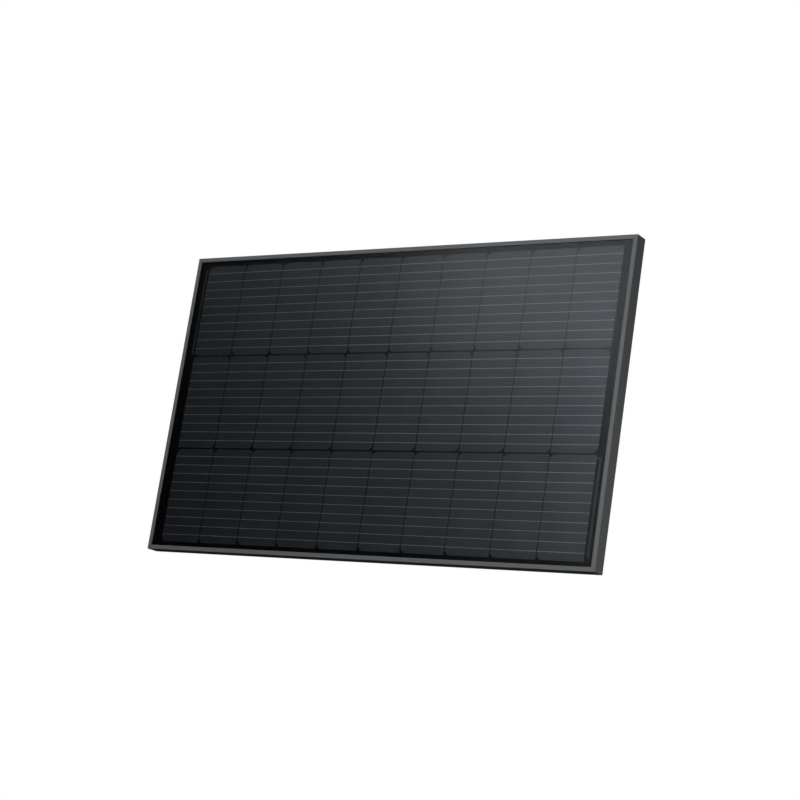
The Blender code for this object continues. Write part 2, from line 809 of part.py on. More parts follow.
def make_lid(material):
    """The lid hangs on the hinge along the box's upper wall."""
    inside = LID_CLEARANCE
    outside = LID_CLEARANCE + LID_SKIRT
    radius = LID_EDGE_RADIUS
    field = -LID_BORDER
    levels = [
        (box_outline(field), LID_TOP - LID_RECESS),
        (box_outline(field + LID_RECESS), LID_TOP),
        (box_outline(outside - radius), LID_TOP),
        (box_outline(outside - LID_EDGE_KNEE), LID_TOP - LID_EDGE_KNEE),
        (box_outline(outside), LID_TOP - radius),
        (box_outline(outside), LID_SKIRT_DEPTH),
        (box_outline(inside), LID_SKIRT_DEPTH),
        (box_outline(inside), LID_UNDERSIDE),
    ]
    lid = stack("junction_box_lid", levels, material, (BOX_X, BOX_Z))
    upper_wall = BOX_HEIGHT / 2
    cut(
        lid,
        box_block(
            "lug_room",
            -LUG_CUT_HALF_WIDTH,
            LUG_CUT_HALF_WIDTH,
            upper_wall - LID_CLEARANCE,
            HINGE_Z + BARREL_RADIUS,
            LID_SKIRT_DEPTH - LID_THICKNESS,
            LID_TOP + LID_THICKNESS,
        ),
    )
    web = BARREL_HALF_LENGTH - FIT_GAP
    add(
        lid,
        box_block(
            "hinge_web",
            -web,
            web,
            upper_wall - LID_THICKNESS,
            HINGE_Z,
            LID_UNDERSIDE + FACE_GAP,
            LID_TOP - FACE_GAP,
        ),
    )
    pin_line = across_box(HINGE_DEPTH, HINGE_Z)
    add(
        lid,
        rod("hinge_barrel", BARREL_RADIUS, -BARREL_HALF_LENGTH, BARREL_HALF_LENGTH, pin_line),
    )
    reach = BARREL_HALF_LENGTH + LUG_WIDTH
    cut(lid, rod("barrel_bore", PIN_BORE_RADIUS, -reach, reach, pin_line, SMALL_ROUND_STEPS))
    lower_edge = -upper_wall - outside
    add(
        lid,
        box_block(
            "finger_tab",
            -LID_TAB_WIDTH / 2,
            LID_TAB_WIDTH / 2,
            lower_edge - LID_TAB_REACH,
            lower_edge + LID_SKIRT,
            LID_UNDERSIDE,
            LID_TOP - 2 * FACE_GAP,
        ),
    )
    axis_point = at_depth(BOX_X, HINGE_DEPTH, BOX_Z + HINGE_Z)
    set_origin(lid, axis_point)


def gland_nut(name, place, material):
    """A cap nut with grips round it, its mouth towards the box."""
    outside = (
        (NUT_RADIUS - NUT_GRIP_DEPTH, 0),
        (NUT_RADIUS, NUT_GRIP_DEPTH),
        (NUT_RADIUS, NUT_LENGTH - NUT_NOSE),
        (NUT_RADIUS - NUT_NOSE / 2, NUT_LENGTH),
    )
    inside = (
        (CABLE_BORE_RADIUS, NUT_LENGTH),
        (CABLE_BORE_RADIUS, NUT_LENGTH - NUT_END),
        (NUT_BORE_RADIUS, NUT_LENGTH - NUT_END - NUT_GRIP_DEPTH),
        (NUT_BORE_RADIUS, 0),
    )
    rings = []
    for radius, along in outside:
        gripped = [
            (x * shrink, z * shrink)
            for number, (x, z) in enumerate(circle(radius, 4 * NUT_GRIPS))
            for shrink in [1 if number % 4 < 2 else 1 - NUT_GRIP_DEPTH / NUT_RADIUS]
        ]
        rings.append([place(x, y, along) for x, y in gripped])
    for radius, along in inside:
        rings.append([place(x, y, along) for x, y in circle(radius, 4 * NUT_GRIPS)])
    smooth(loft(name, rings, material, closed=True))


def make_glands(finishes):
    for word, x in (("left", -GLAND_X), ("right", GLAND_X)):
        to_panel = down_from_box(x)

        def from_nut_mouth(across, up, along, to_panel=to_panel):
            return to_panel(across, up, along + NUT_FROM_BOX)

        gland_nut(f"gland_nut_{word}", from_nut_mouth, finishes["box_plastic"])
        low = NECK_LENGTH - NECK_SEAT_LENGTH + FIT_GAP
        high = NECK_LENGTH - FACE_GAP
        profile = [
            (GLAND_SEAL_RADIUS, low),
            (GLAND_SEAL_RADIUS, high),
            (SEAL_BORE_RADIUS, high),
            (SEAL_BORE_RADIUS, low),
        ]
        turned(f"gland_seal_{word}", profile, to_panel, finishes["rubber"], closed=True)


def terminal(name, x, material):
    """A clamp block, with a tongue that meets the ribbon's tab and a screw on top."""
    low = FLOOR_TOP + FIT_GAP
    tongue_end = TAB_Z - TAB_THICKNESS - FIT_GAP - TONGUE_FROM_TAB
    tongue_root = tongue_end - TONGUE_THICKNESS
    section = [
        (TERMINAL_LOW_Z, low),
        (TERMINAL_HIGH_Z, low),
        (TERMINAL_HIGH_Z, low + TONGUE_LOW),
        (tongue_end, low + TONGUE_LOW),
        (tongue_end, low + TONGUE_TIP),
        (tongue_root, low + TONGUE_TIP),
        (tongue_root, low + TONGUE_HIGH),
        (TERMINAL_HIGH_Z, low + TONGUE_HIGH),
        (TERMINAL_HIGH_Z, low + TERMINAL_HEIGHT),
        (TERMINAL_LOW_Z, low + TERMINAL_HEIGHT),
    ]
    rings = [
        [at_depth(BOX_X + x + side * TERMINAL_WIDTH / 2, depth, BOX_Z + z) for z, depth in section]
        for side in (-1, 1)
    ]
    block = loft(name, rings, material)

    def screw_place(across, up, along):
        return at_depth(BOX_X + x + across, low + along, BOX_Z + SCREW_Z + up)

    start = TERMINAL_HEIGHT / 2
    head = TERMINAL_HEIGHT + SCREW_HEAD
    add(block, rod(f"{name}_screw", SCREW_RADIUS, start, head, screw_place, SMALL_ROUND_STEPS))
    slot = box_block(
        f"{name}_slot",
        x - SCREW_RADIUS * 2,
        x + SCREW_RADIUS * 2,
        SCREW_Z - SCREW_SLOT / 2,
        SCREW_Z + SCREW_SLOT / 2,
        low + head - SCREW_SLOT,
        low + head + SCREW_SLOT,
    )
    cut(block, slot)


def make_diode(material):
    """The bypass diode lies between the two terminals."""
    reach = TERMINAL_X - TERMINAL_WIDTH / 2 - FIT_GAP
    half = DIODE_LENGTH / 2
    profile = [
        (DIODE_LEAD_RADIUS, -reach),
        (DIODE_LEAD_RADIUS, -half),
        (DIODE_RADIUS, -half),
        (DIODE_RADIUS, half),
        (DIODE_LEAD_RADIUS, half),
        (DIODE_LEAD_RADIUS, reach),
    ]
    depth = FLOOR_TOP + FIT_GAP + DIODE_RADIUS
    place = across_box(depth, SCREW_Z)
    turned("bypass_diode", profile, place, material, steps=SMALL_ROUND_STEPS)


def make_junction_box(finishes):
    centre = (BOX_X, BOX_Z)
    frame_ring(
        "junction_box_adhesive",
        box_outline(-FIT_GAP),
        box_outline(-ADHESIVE_WIDTH),
        ADHESIVE_FRONT,
        ADHESIVE_BACK,
        finishes["silicone"],
        centre,
    )
    make_box_base(finishes["box_plastic"])
    frame_ring(
        "junction_box_gasket",
        box_outline(-FIT_GAP),
        box_outline(-FIT_GAP - GASKET_WIDTH),
        GASKET_FRONT,
        GASKET_FRONT + GASKET_THICKNESS,
        finishes["rubber"],
        centre,
    )
    make_lid(finishes["box_plastic"])
    pin_line = across_box(HINGE_DEPTH, HINGE_Z)
    turned(
        "lid_hinge_pin",
        [(PIN_RADIUS, -PIN_HALF_LENGTH), (PIN_RADIUS, PIN_HALF_LENGTH)],
        pin_line,
        finishes["steel"],
        steps=SMALL_ROUND_STEPS,
    )
    make_glands(finishes)
    terminal("terminal_positive", -TERMINAL_X, finishes["brass"])
    terminal("terminal_negative", TERMINAL_X, finishes["brass"])
    make_diode(finishes["diode"])


# ---------------------------------------------------------------- the panel


def main():
    clear_scene()
    finishes = make_finishes()
    make_frame(finishes)
    make_laminate(finishes)
    make_junction_box(finishes)


main()
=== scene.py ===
"""Looks of the framed solar panel: its materials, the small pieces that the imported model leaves
out, a camera, soft studio light and a pale floor.

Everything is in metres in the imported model's frame. The panel stands upright and faces -Y, with +X
along its long side and +Z up, so a piece nearer the viewer has a lower Y.
"""

import math

import bmesh
import bpy
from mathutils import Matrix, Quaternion, Vector


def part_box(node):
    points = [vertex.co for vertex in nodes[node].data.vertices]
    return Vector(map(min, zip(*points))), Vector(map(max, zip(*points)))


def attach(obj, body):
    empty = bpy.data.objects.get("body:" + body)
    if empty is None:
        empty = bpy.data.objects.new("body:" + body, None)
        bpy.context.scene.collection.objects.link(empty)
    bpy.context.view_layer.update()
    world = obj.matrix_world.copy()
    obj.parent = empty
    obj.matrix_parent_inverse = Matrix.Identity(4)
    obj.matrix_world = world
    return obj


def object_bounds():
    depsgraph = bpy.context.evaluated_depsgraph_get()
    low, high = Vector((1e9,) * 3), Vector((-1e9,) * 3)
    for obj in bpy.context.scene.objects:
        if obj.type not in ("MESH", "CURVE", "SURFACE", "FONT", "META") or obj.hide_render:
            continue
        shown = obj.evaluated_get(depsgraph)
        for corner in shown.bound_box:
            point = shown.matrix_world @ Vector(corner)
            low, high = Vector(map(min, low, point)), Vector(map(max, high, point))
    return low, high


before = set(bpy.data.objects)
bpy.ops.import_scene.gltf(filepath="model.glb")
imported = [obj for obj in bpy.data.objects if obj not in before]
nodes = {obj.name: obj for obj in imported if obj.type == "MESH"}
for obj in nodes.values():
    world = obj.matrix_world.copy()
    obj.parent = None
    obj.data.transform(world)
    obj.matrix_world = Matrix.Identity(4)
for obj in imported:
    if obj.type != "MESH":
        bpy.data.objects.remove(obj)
cad_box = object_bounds()

MM = 0.001

# ---------------------------------------------------------------- sizes

ROWS = 3
COLUMNS = 10
COLUMN_PITCH = 92.4 * MM
ROW_PITCH = 185 * MM

# Black edge of each cell beside the gap to its neighbours.
CELL_BORDER = 0.35 * MM
first_low, first_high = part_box("cell_row1_column01")
CELL_GAP = COLUMN_PITCH - (first_high.x - first_low.x)
COLUMN_SHIFT = CELL_GAP / 2 - first_low.x

# Soldered wires on the cells: flattened round wire that dives behind the next cell.
WIRES_PER_CELL = 10
WIRE_FROM_CELL_TOP = 14.4 * MM
WIRE_PITCH = 17.03 * MM
WIRE_WIDTH = 0.42 * MM
WIRE_HEIGHT = 0.24 * MM
WIRE_INSET = 0.3 * MM
WIRE_SUNK = 0.03 * MM
WIRE_SIDES = 8

# Where a wire starts and ends its dive, in shares of the gap, and how much it has sunk at the start.
DIVE_START = 0.1
DIVE_END = 0.9
DIVE_START_DROP = 0.12

# Blobs of solder at the wires' ends, and their outline from foot to top: rise and spread in shares.
PAD_LENGTH = 1.6 * MM
PAD_WIDTH = 0.9 * MM
PAD_HEIGHT = 0.05 * MM
PAD_SIDES = 10
PAD_OUTLINE = ((0.0, 1.0), (0.7, 0.85), (1.0, 0.4))

# Fine silver fingers printed across the wires, as many to a column pitch as divide it evenly.
FINGERS_PER_COLUMN = 60
FINGER_WIDTH = 0.06 * MM

# Silicone squeezed out round the backsheet and under the junction box.
SEALANT_RADIUS = 1.1 * MM
SEALANT_SINK = 0.3 * MM
SEALANT_CORNER = 2.5 * MM
SEALANT_FROM_OUTSIDE = 11 * MM
BOX_BEAD_RADIUS = 1.3 * MM
BOX_BEAD_CORNER = 6 * MM
BEAD_SIDES = 10
BEAD_STEP = 6 * MM
BEND_STEPS = 4

# How a bead swells and thins along its run: share of its radius, turn per ring and start, radians.
SWELLS = ((0.10, 0.9, 0.0), (0.07, 2.3, 1.0))

# Sealant in the frame's mitres, and the parts of the frame's section that it fills.
WALL = 1.6 * MM
LIP_WIDTH = 8 * MM
FLANGE_WIDTH = 25 * MM
FRAME_DEPTH = cad_box[1].y - cad_box[0].y
SEAM_INSET = 0.12 * MM
SEAM_CHAMFER = 0.5 * MM
SEAM_THICKNESS = 0.22 * MM

# Corners of a rectangle, in order round it, by the signs of x and z.
CORNERS = ((1, 1), (-1, 1), (-1, -1), (1, -1))

# Polarity signs raised on the junction box's lid.
LID_RECESS = 0.5 * MM
SIGN_LENGTH = 6 * MM
SIGN_WIDTH = 1.3 * MM
SIGN_HEIGHT = 0.3 * MM
SIGN_SUNK = 0.03 * MM
SIGN_ABOVE_LID_EDGE = 17 * MM

# A sign's outline from foot to top: its rise, and how far its edges draw in, in shares of its height.
SIGN_OUTLINE = ((0.0, 0.0), (0.6, 0.0), (1.0, 0.4))

# Rating label.
LABEL_BORDER_INSET = 4 * MM
LABEL_LINE = 0.5 * MM
LABEL_LINE_PITCH = 8 * MM

# Ridges and creases that the wires and the columns' gaps leave in the backsheet; the creases also
# carry painted shade.
RIDGE_WIDTH = 1.2 * MM
CREASE_WIDTH = 2.4 * MM

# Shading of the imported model's triangles and of the pieces made here.
WELD_DISTANCE = 0.001 * MM
NODE_SHARP_ANGLE = math.radians(32)
PIECE_SHARP_ANGLE = math.radians(40)
FLAT_FACE_WEIGHT = 100

# ---------------------------------------------------------------- camera, light and floor

CAMERA_PLACE = (2.0670, -2.8522, -0.7822)
CAMERA_AIM = (0.0479, -0.0280, 0.0008)
CAMERA_ROLL = math.radians(8.745)
CAMERA_LENS = 89.1

BACKGROUND = 1.0
LIGHT_TINT = (0.96, 0.985, 1.0)
AMBIENT = 0.005
FLOOR_HEIGHT = -1.9
FLOOR_RADIUS = 14.0
FLOOR_SIDES = 96
FLOOR_GLOW = 0.93

MIDDLE = (0.0, 0.0, 0.0)
RIGHT_SIDE = (0.488, 0.0, -0.1)
LEFT_SIDE = (-0.4, 0.0, 0.0)

# name: place, aim, width, height, watts
LIGHTS = {
    "key": ((-0.2, -2.5, 0.4), MIDDLE, 0.8, 0.8, 8.8),
    "high": ((-0.4, -2.5, 2.0), MIDDLE, 0.8, 0.8, 5.5),
    "streak": ((-1.1, -2.5, 1.2), MIDDLE, 1.0, 0.8, 3.2),
    "far_left": ((-2.6, -2.5, 2.0), MIDDLE, 0.8, 0.8, 3.2),
    "low": ((-1.9, -2.1, -1.4), MIDDLE, 1.8, 1.4, 3.2),
    "fill": ((0.9, -2.8, -0.3), MIDDLE, 1.4, 1.4, 13.6),
    "right_side": ((1.6, -0.3, -0.38), RIGHT_SIDE, 0.8, 0.8, 4.5),
    "back": ((-0.6, 2.4, 1.5), MIDDLE, 2.4, 1.8, 52.0),
    "back_low": ((-0.4, 2.2, 0.4), MIDDLE, 1.6, 1.2, 15.0),
    "left_side": ((-2.6, 0.4, 0.6), LEFT_SIDE, 1.2, 1.2, 12.0),
}

# ---------------------------------------------------------------- shader nodes

# Most of a noise's values lie in this range.
NOISE_SPAN = (0.3, 0.7)

# How much denser a noise's features lie along each axis: alike, or in lines along one axis.
EVEN = (1.0, 1.0, 1.0)
ALONG_X = (6.0, 2500.0, 2500.0)
ALONG_Z = (2500.0, 2500.0, 6.0)


def add(tree, kind, inputs=None, **settings):
    """A shader node with its settings, and its inputs set to numbers or linked to sockets."""
    node = tree.nodes.new(kind)
    for name, value in settings.items():
        setattr(node, name, value)
    for name, value in (inputs or {}).items():
        if isinstance(value, bpy.types.NodeSocket):
            tree.links.new(value, node.inputs[name])
        else:
            node.inputs[name].default_value = value
    return node


def maths(tree, operation, first, second=0.0):
    return add(tree, "ShaderNodeMath", {0: first, 1: second}, operation=operation).outputs[0]


def share(tree, value, part):
    """A part of a value."""
    return maths(tree, "MULTIPLY", value, part)


def grey(value):
    return (value, value, value)


def greys(dark, light):
    return grey(dark), grey(light)


def mixed(tree, factor, low, high):
    """A colour between two colours or colour sockets."""
    node = add(tree, "ShaderNodeMix", {0: factor}, data_type="RGBA")
    for socket, value in ((node.inputs[6], low), (node.inputs[7], high)):
        if isinstance(value, bpy.types.NodeSocket):
            tree.links.new(value, socket)
        else:
            socket.default_value = (*value, 1.0)
    return node.outputs[2]


def ranged(tree, value, low, high, start=0.0, end=1.0):
    """A value moved from the range start to end into the range low to high."""
    inputs = {"Value": value, "From Min": start, "From Max": end, "To Min": low, "To Max": high}
    return add(tree, "ShaderNodeMapRange", inputs).outputs[0]


def noise(tree, scale, stretch=EVEN, detail=2.0, roughness=0.5):
    """Noise fixed to the piece, with scale features to the metre, stretched along any axis."""
    place = add(tree, "ShaderNodeTexCoord").outputs["Object"]
    mapping = add(tree, "ShaderNodeMapping", {"Vector": place, "Scale": stretch})
    inputs = {
        "Vector": mapping.outputs[0],
        "Scale": scale,
        "Detail": detail,
        "Roughness": roughness,
    }
    return add(tree, "ShaderNodeTexNoise", inputs).outputs["Fac"]


def bump(tree, height, distance, strength=1.0):
    inputs = {"Height": height, "Distance": distance, "Strength": strength}
    return add(tree, "ShaderNodeBump", inputs).outputs[0]


def new_material(name):
    """A material, its node tree and its Principled shader."""
    material = bpy.data.materials.new(name)
    material.use_nodes = True
    tree = material.node_tree
    return material, tree, tree.nodes["Principled BSDF"]


def connect(tree, shader, **sockets):
    """Sets or links a shader's inputs, named in lower case with underscores."""
    for name, value in sockets.items():
        socket = shader.inputs[name.replace("_", " ").title().replace("Ior", "IOR")]
        if isinstance(value, bpy.types.NodeSocket):
            tree.links.new(value, socket)
        elif isinstance(value, tuple):
            socket.default_value = (*value, 1.0)
        else:
            socket.default_value = value


# ---------------------------------------------------------------- materials

# Features to the metre.
MOTTLE = 14.0
ALUMINIUM_MOTTLE = 5.0
ALUMINIUM_GRAIN = 2600.0
GLASS_TEXTURE = 700.0
GLASS_UNEVENNESS = 6.0
HAZE = 30.0
CELL_CLOUD = 9.0
CELL_SPARKLE = 4000.0
SOLDER_MOTTLE = 900.0
BACKSHEET_MOTTLE = 11.0
BACKSHEET_GRAIN = 900.0
LABEL_MOTTLE = 60.0

# How two noises share a tone: the first one's part and the second one's.
FIRST_PART = 0.6
SECOND_PART = 0.4

GLASS_INDEX = 1.52
CELL_INDEX = 1.7
FINGER_PART = 0.14
INK_PART = 0.85
WIRE_METAL = 0.5
GAP_ROUGHNESS = 0.9
RIDGE_RELIEF = 0.35
GRAIN_RELIEF = 0.5
CREASE_SHADE = 0.10
TINT_PART = 0.35

# Range of the black aluminium's tone over which its colour changes.
ALUMINIUM_SPAN = (0.35, 0.65)


def grained(name, colours, roughness, grain, depth, stretch=EVEN, **sockets):
    """A mottled surface between two colours and two roughnesses, with a fine grain in relief."""
    material, tree, shader = new_material(name)
    mottle = noise(tree, MOTTLE, detail=4.0)
    fine = noise(tree, grain, stretch, detail=3.0)
    tone = maths(tree, "ADD", share(tree, mottle, FIRST_PART), share(tree, fine, SECOND_PART))
    connect(
        tree,
        shader,
        base_color=mixed(tree, ranged(tree, tone, 0.0, 1.0, *NOISE_SPAN), *colours),
        roughness=ranged(tree, tone, *roughness, *NOISE_SPAN),
        normal=bump(tree, fine, depth),
        **sockets,
    )
    return material


def anodised(name, stretch):
    """Black anodised aluminium, with the extrusion's faint lines along one axis."""
    material, tree, shader = new_material(name)
    lines = noise(tree, 1.0, stretch, detail=5.0, roughness=0.65)
    grain = noise(tree, ALUMINIUM_GRAIN, detail=1.0)
    mottle = noise(tree, ALUMINIUM_MOTTLE, detail=3.0)
    tone = maths(tree, "ADD", share(tree, lines, FIRST_PART), share(tree, grain, SECOND_PART))
    lightness = ranged(tree, tone, 0.0, 1.0, *ALUMINIUM_SPAN)
    colour = mixed(tree, lightness, (0.205, 0.209, 0.212), (0.252, 0.256, 0.260))
    tint = ranged(tree, mottle, 0.0, TINT_PART, *ALUMINIUM_SPAN)
    tinted = mixed(tree, tint, colour, (0.215, 0.228, 0.232))
    connect(
        tree,
        shader,
        base_color=tinted,
        metallic=0.15,
        roughness=ranged(tree, tone, 0.42, 0.56, *NOISE_SPAN),
        normal=bump(tree, tone, 0.02 * MM),
    )
    return material


def glass():
    """Low-iron cover glass: clear, with a soft-edged reflection from its rolled texture."""
    material, tree, shader = new_material("rolled_glass")
    tree.nodes.remove(shader)
    texture = noise(tree, GLASS_TEXTURE, detail=1.0)
    relief = bump(tree, texture, 0.001 * MM)
    roughness = ranged(tree, noise(tree, GLASS_UNEVENNESS), 0.20, 0.23, *NOISE_SPAN)
    gloss = add(
        tree,
        "ShaderNodeBsdfAnisotropic",
        {"Color": (0.92, 0.97, 1.0, 1.0), "Roughness": roughness, "Normal": relief},
    )
    clear = add(tree, "ShaderNodeBsdfTransparent", {"Color": (0.985, 0.995, 0.99, 1.0)})
    mirror = add(tree, "ShaderNodeFresnel", {"IOR": GLASS_INDEX}).outputs[0]
    inside = add(tree, "ShaderNodeNewGeometry").outputs["Backfacing"]
    outside = maths(tree, "SUBTRACT", 1.0, inside)
    shine = maths(tree, "MULTIPLY", mirror, outside)
    mix = add(tree, "ShaderNodeMixShader", {0: shine, 1: clear.outputs[0], 2: gloss.outputs[0]})
    tree.links.new(mix.outputs[0], tree.nodes["Material Output"].inputs["Surface"])
    return material


def clear_film():
    """Melted encapsulant between glass and cells: all but invisible, with a trace of haze."""
    material, tree, shader = new_material("clear_film")
    connect(tree, shader, base_color=grey(0.02), roughness=0.6, specular_ior_level=0.0)
    clear = add(tree, "ShaderNodeBsdfTransparent")
    haze = ranged(tree, noise(tree, HAZE, detail=3.0), 0.0, 0.02, *NOISE_SPAN)
    mix = add(tree, "ShaderNodeMixShader", {0: haze, 1: clear.outputs[0], 2: shader.outputs[0]})
    tree.links.new(mix.outputs[0], tree.nodes["Material Output"].inputs["Surface"])
    return material


def stripes(tree, axis, pitch, width, shift=0.0):
    """1 on lines of this width that repeat along an axis at this pitch, and 0 between them."""
    place = add(tree, "ShaderNodeTexCoord").outputs["Object"]
    along = add(tree, "ShaderNodeSeparateXYZ", {0: place}).outputs[axis]
    turns = maths(tree, "MULTIPLY", maths(tree, "ADD", along, shift), 1.0 / pitch)
    offset = maths(tree, "PINGPONG", turns, 0.5)
    return maths(tree, "LESS_THAN", offset, width / pitch / 2)


def silicon():
    """Monocrystalline cell: near-black blue coating, fine silver fingers, a tint of its own."""
    material, tree, shader = new_material("silicon_cell")
    place = add(tree, "ShaderNodeTexCoord").outputs["Object"]
    spread = add(
        tree,
        "ShaderNodeVectorMath",
        {0: place, 1: (1.0 / COLUMN_PITCH, 0.0, 1.0 / ROW_PITCH)},
        operation="MULTIPLY",
    )
    centred = add(
        tree, "ShaderNodeVectorMath", {0: spread.outputs[0], 1: (0.0, 0.5, 0.5)}, operation="ADD"
    )
    cell = add(tree, "ShaderNodeVectorMath", {0: centred.outputs[0]}, operation="FLOOR")
    own = add(tree, "ShaderNodeTexWhiteNoise", {"Vector": cell.outputs[0]}).outputs["Value"]
    cloud = noise(tree, CELL_CLOUD)
    tint = ranged(tree, maths(tree, "ADD", own, cloud), 0.0, 1.0, 0.4, 1.6)
    coating = mixed(tree, tint, (0.0018, 0.0026, 0.0062), (0.0052, 0.0050, 0.0052))
    fingers = stripes(tree, "X", COLUMN_PITCH / FINGERS_PER_COLUMN, FINGER_WIDTH)
    printed = mixed(tree, share(tree, fingers, FINGER_PART), coating, (0.30, 0.31, 0.32))
    border = stripes(tree, "X", COLUMN_PITCH, CELL_GAP + 2 * CELL_BORDER, COLUMN_SHIFT)
    colour = mixed(tree, border, printed, grey(0.001))
    gloss = maths(tree, "MAXIMUM", ranged(tree, tint, 0.42, 0.45), border)
    sparkle = noise(tree, CELL_SPARKLE, detail=0.0)
    connect(
        tree,
        shader,
        base_color=colour,
        roughness=gloss,
        normal=bump(tree, sparkle, 0.002 * MM),
        ior=CELL_INDEX,
        specular_tint=(0.82, 0.88, 1.0),
    )
    return material


def coated_wire():
    """Solder-coated copper wire, with painted shade where it dives across the gap between two cells.
    """
    material, tree, shader = new_material("coated_wire")
    mottle = noise(tree, SOLDER_MOTTLE, detail=3.0)
    bright = mixed(tree, mottle, (0.54, 0.56, 0.58), (0.68, 0.71, 0.73))
    # Painted shade: over the gap, where the wire dips behind the next cell, it turns near black,
    # matte and not metallic.
    gap = stripes(tree, "X", COLUMN_PITCH, CELL_GAP + CELL_BORDER, COLUMN_SHIFT)
    satin = ranged(tree, mottle, 0.34, 0.46)
    connect(
        tree,
        shader,
        base_color=mixed(tree, gap, bright, grey(0.012)),
        metallic=share(tree, maths(tree, "SUBTRACT", 1.0, gap), WIRE_METAL),
        roughness=maths(tree, "MAXIMUM", satin, share(tree, gap, GAP_ROUGHNESS)),
        normal=bump(tree, mottle, 0.01 * MM),
    )
    return material


def backsheet():
    """Satin white film: faint ridges over the wires under it, faint creases with painted shade over
    the cells' gaps.
    """
    material, tree, shader = new_material("white_film")
    mottle = noise(tree, BACKSHEET_MOTTLE, detail=4.0)
    ridges = stripes(tree, "Z", WIRE_PITCH, RIDGE_WIDTH)
    creases = stripes(tree, "X", COLUMN_PITCH, CREASE_WIDTH)
    fine = noise(tree, BACKSHEET_GRAIN)
    relief = maths(tree, "SUBTRACT", share(tree, ridges, RIDGE_RELIEF), creases)
    height = maths(tree, "ADD", relief, share(tree, fine, GRAIN_RELIEF))
    white = mixed(tree, mottle, (0.77, 0.78, 0.78), (0.84, 0.84, 0.83))
    # Painted shade: the white film is mixed towards grey in the creases over the columns' gaps.
    shade = mixed(tree, share(tree, creases, CREASE_SHADE), white, grey(0.55))
    connect(
        tree,
        shader,
        base_color=shade,
        roughness=ranged(tree, mottle, 0.46, 0.58, *NOISE_SPAN),
        normal=bump(tree, height, 0.02 * MM),
    )
    return material


def label_film(low, high):
    """A blank rating label between two corners: silver film with a printed border and lines."""
    material, tree, shader = new_material("label_film")
    place = add(tree, "ShaderNodeTexCoord").outputs["Object"]
    split = add(tree, "ShaderNodeSeparateXYZ", {0: place})
    middle = (low + high) / 2
    half = (high - low) / 2
    from_x = maths(tree, "ABSOLUTE", maths(tree, "SUBTRACT", split.outputs["X"], middle.x))
    from_z = maths(tree, "ABSOLUTE", maths(tree, "SUBTRACT", split.outputs["Z"], middle.z))
    in_x = maths(tree, "SUBTRACT", half.x - LABEL_BORDER_INSET, from_x)
    in_z = maths(tree, "SUBTRACT", half.z - LABEL_BORDER_INSET, from_z)
    within = maths(tree, "MINIMUM", in_x, in_z)
    border = maths(tree, "LESS_THAN", maths(tree, "ABSOLUTE", within), LABEL_LINE / 2)
    lines = stripes(tree, "Z", LABEL_LINE_PITCH, LABEL_LINE)
    rules = maths(tree, "MULTIPLY", lines, maths(tree, "GREATER_THAN", within, 0.0))
    ink = maths(tree, "MAXIMUM", border, rules)
    mottle = noise(tree, LABEL_MOTTLE, detail=3.0)
    film = mixed(tree, mottle, (0.60, 0.61, 0.62), (0.68, 0.69, 0.69))
    connect(
        tree,
        shader,
        base_color=mixed(tree, share(tree, ink, INK_PART), film, grey(0.04)),
        roughness=ranged(tree, mottle, 0.30, 0.42, *NOISE_SPAN),
        metallic=0.25,
        normal=bump(tree, mottle, 0.01 * MM),
    )
    return material


materials = {
    "frame_along_x": anodised("anodised_along_x", ALONG_X),
    "frame_along_z": anodised("anodised_along_z", ALONG_Z),
    "glass": glass(),
    "clear_film": clear_film(),
    "silicon": silicon(),
    "backsheet": backsheet(),
    "label": label_film(*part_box("rating_label")),
    "black_film": grained(
        "black_film", greys(0.0018, 0.003), (0.5, 0.62), 500.0, 0.01 * MM, specular_ior_level=0.0
    ),
    "rubber": grained("rubber", greys(0.010, 0.020), (0.62, 0.78), 1500.0, 0.03 * MM),
    "plastic": grained("black_plastic", greys(0.016, 0.026), (0.42, 0.54), 1800.0, 0.03 * MM),
    "silicone": grained("silicone", greys(0.22, 0.30), (0.42, 0.55), 160.0, 0.1 * MM),
    "black_silicone": grained("black_silicone", greys(0.012, 0.02), (0.4, 0.5), 160.0, 0.1 * MM),
    "wire": coated_wire(),
    "solder": grained(
        "solder",
        ((0.28, 0.29, 0.30), (0.38, 0.39, 0.40)),
        (0.58, 0.70),
        900.0,
        0.01 * MM,
        metallic=0.2,
    ),
    "coated_link": grained(
        "coated_link", greys(0.0018, 0.003), (0.5, 0.62), 700.0, 0.01 * MM, specular_ior_level=0.0
    ),
    "ribbon": grained("ribbon", greys(0.018, 0.03), (0.42, 0.55), 700.0, 0.01 * MM, metallic=0.5),
    "aluminium": grained(
        "mill_aluminium",
        ((0.60, 0.61, 0.62), (0.74, 0.75, 0.76)),
        (0.32, 0.48),
        1.0,
        0.02 * MM,
        ALONG_X,
        metallic=1.0,
    ),
    "steel": grained(
        "drawn_steel", greys(0.50, 0.62), (0.22, 0.36), 1.0, 0.01 * MM, ALONG_X, metallic=1.0
    ),
    "brass": grained(
        "plated_brass",
        ((0.66, 0.60, 0.44), (0.76, 0.72, 0.60)),
        (0.26, 0.40),
        700.0,
        0.01 * MM,
        metallic=1.0,
    ),
    "epoxy": grained("diode_epoxy", greys(0.018, 0.03), (0.3, 0.42), 900.0, 0.01 * MM),
}

# ---------------------------------------------------------------- CAD nodes


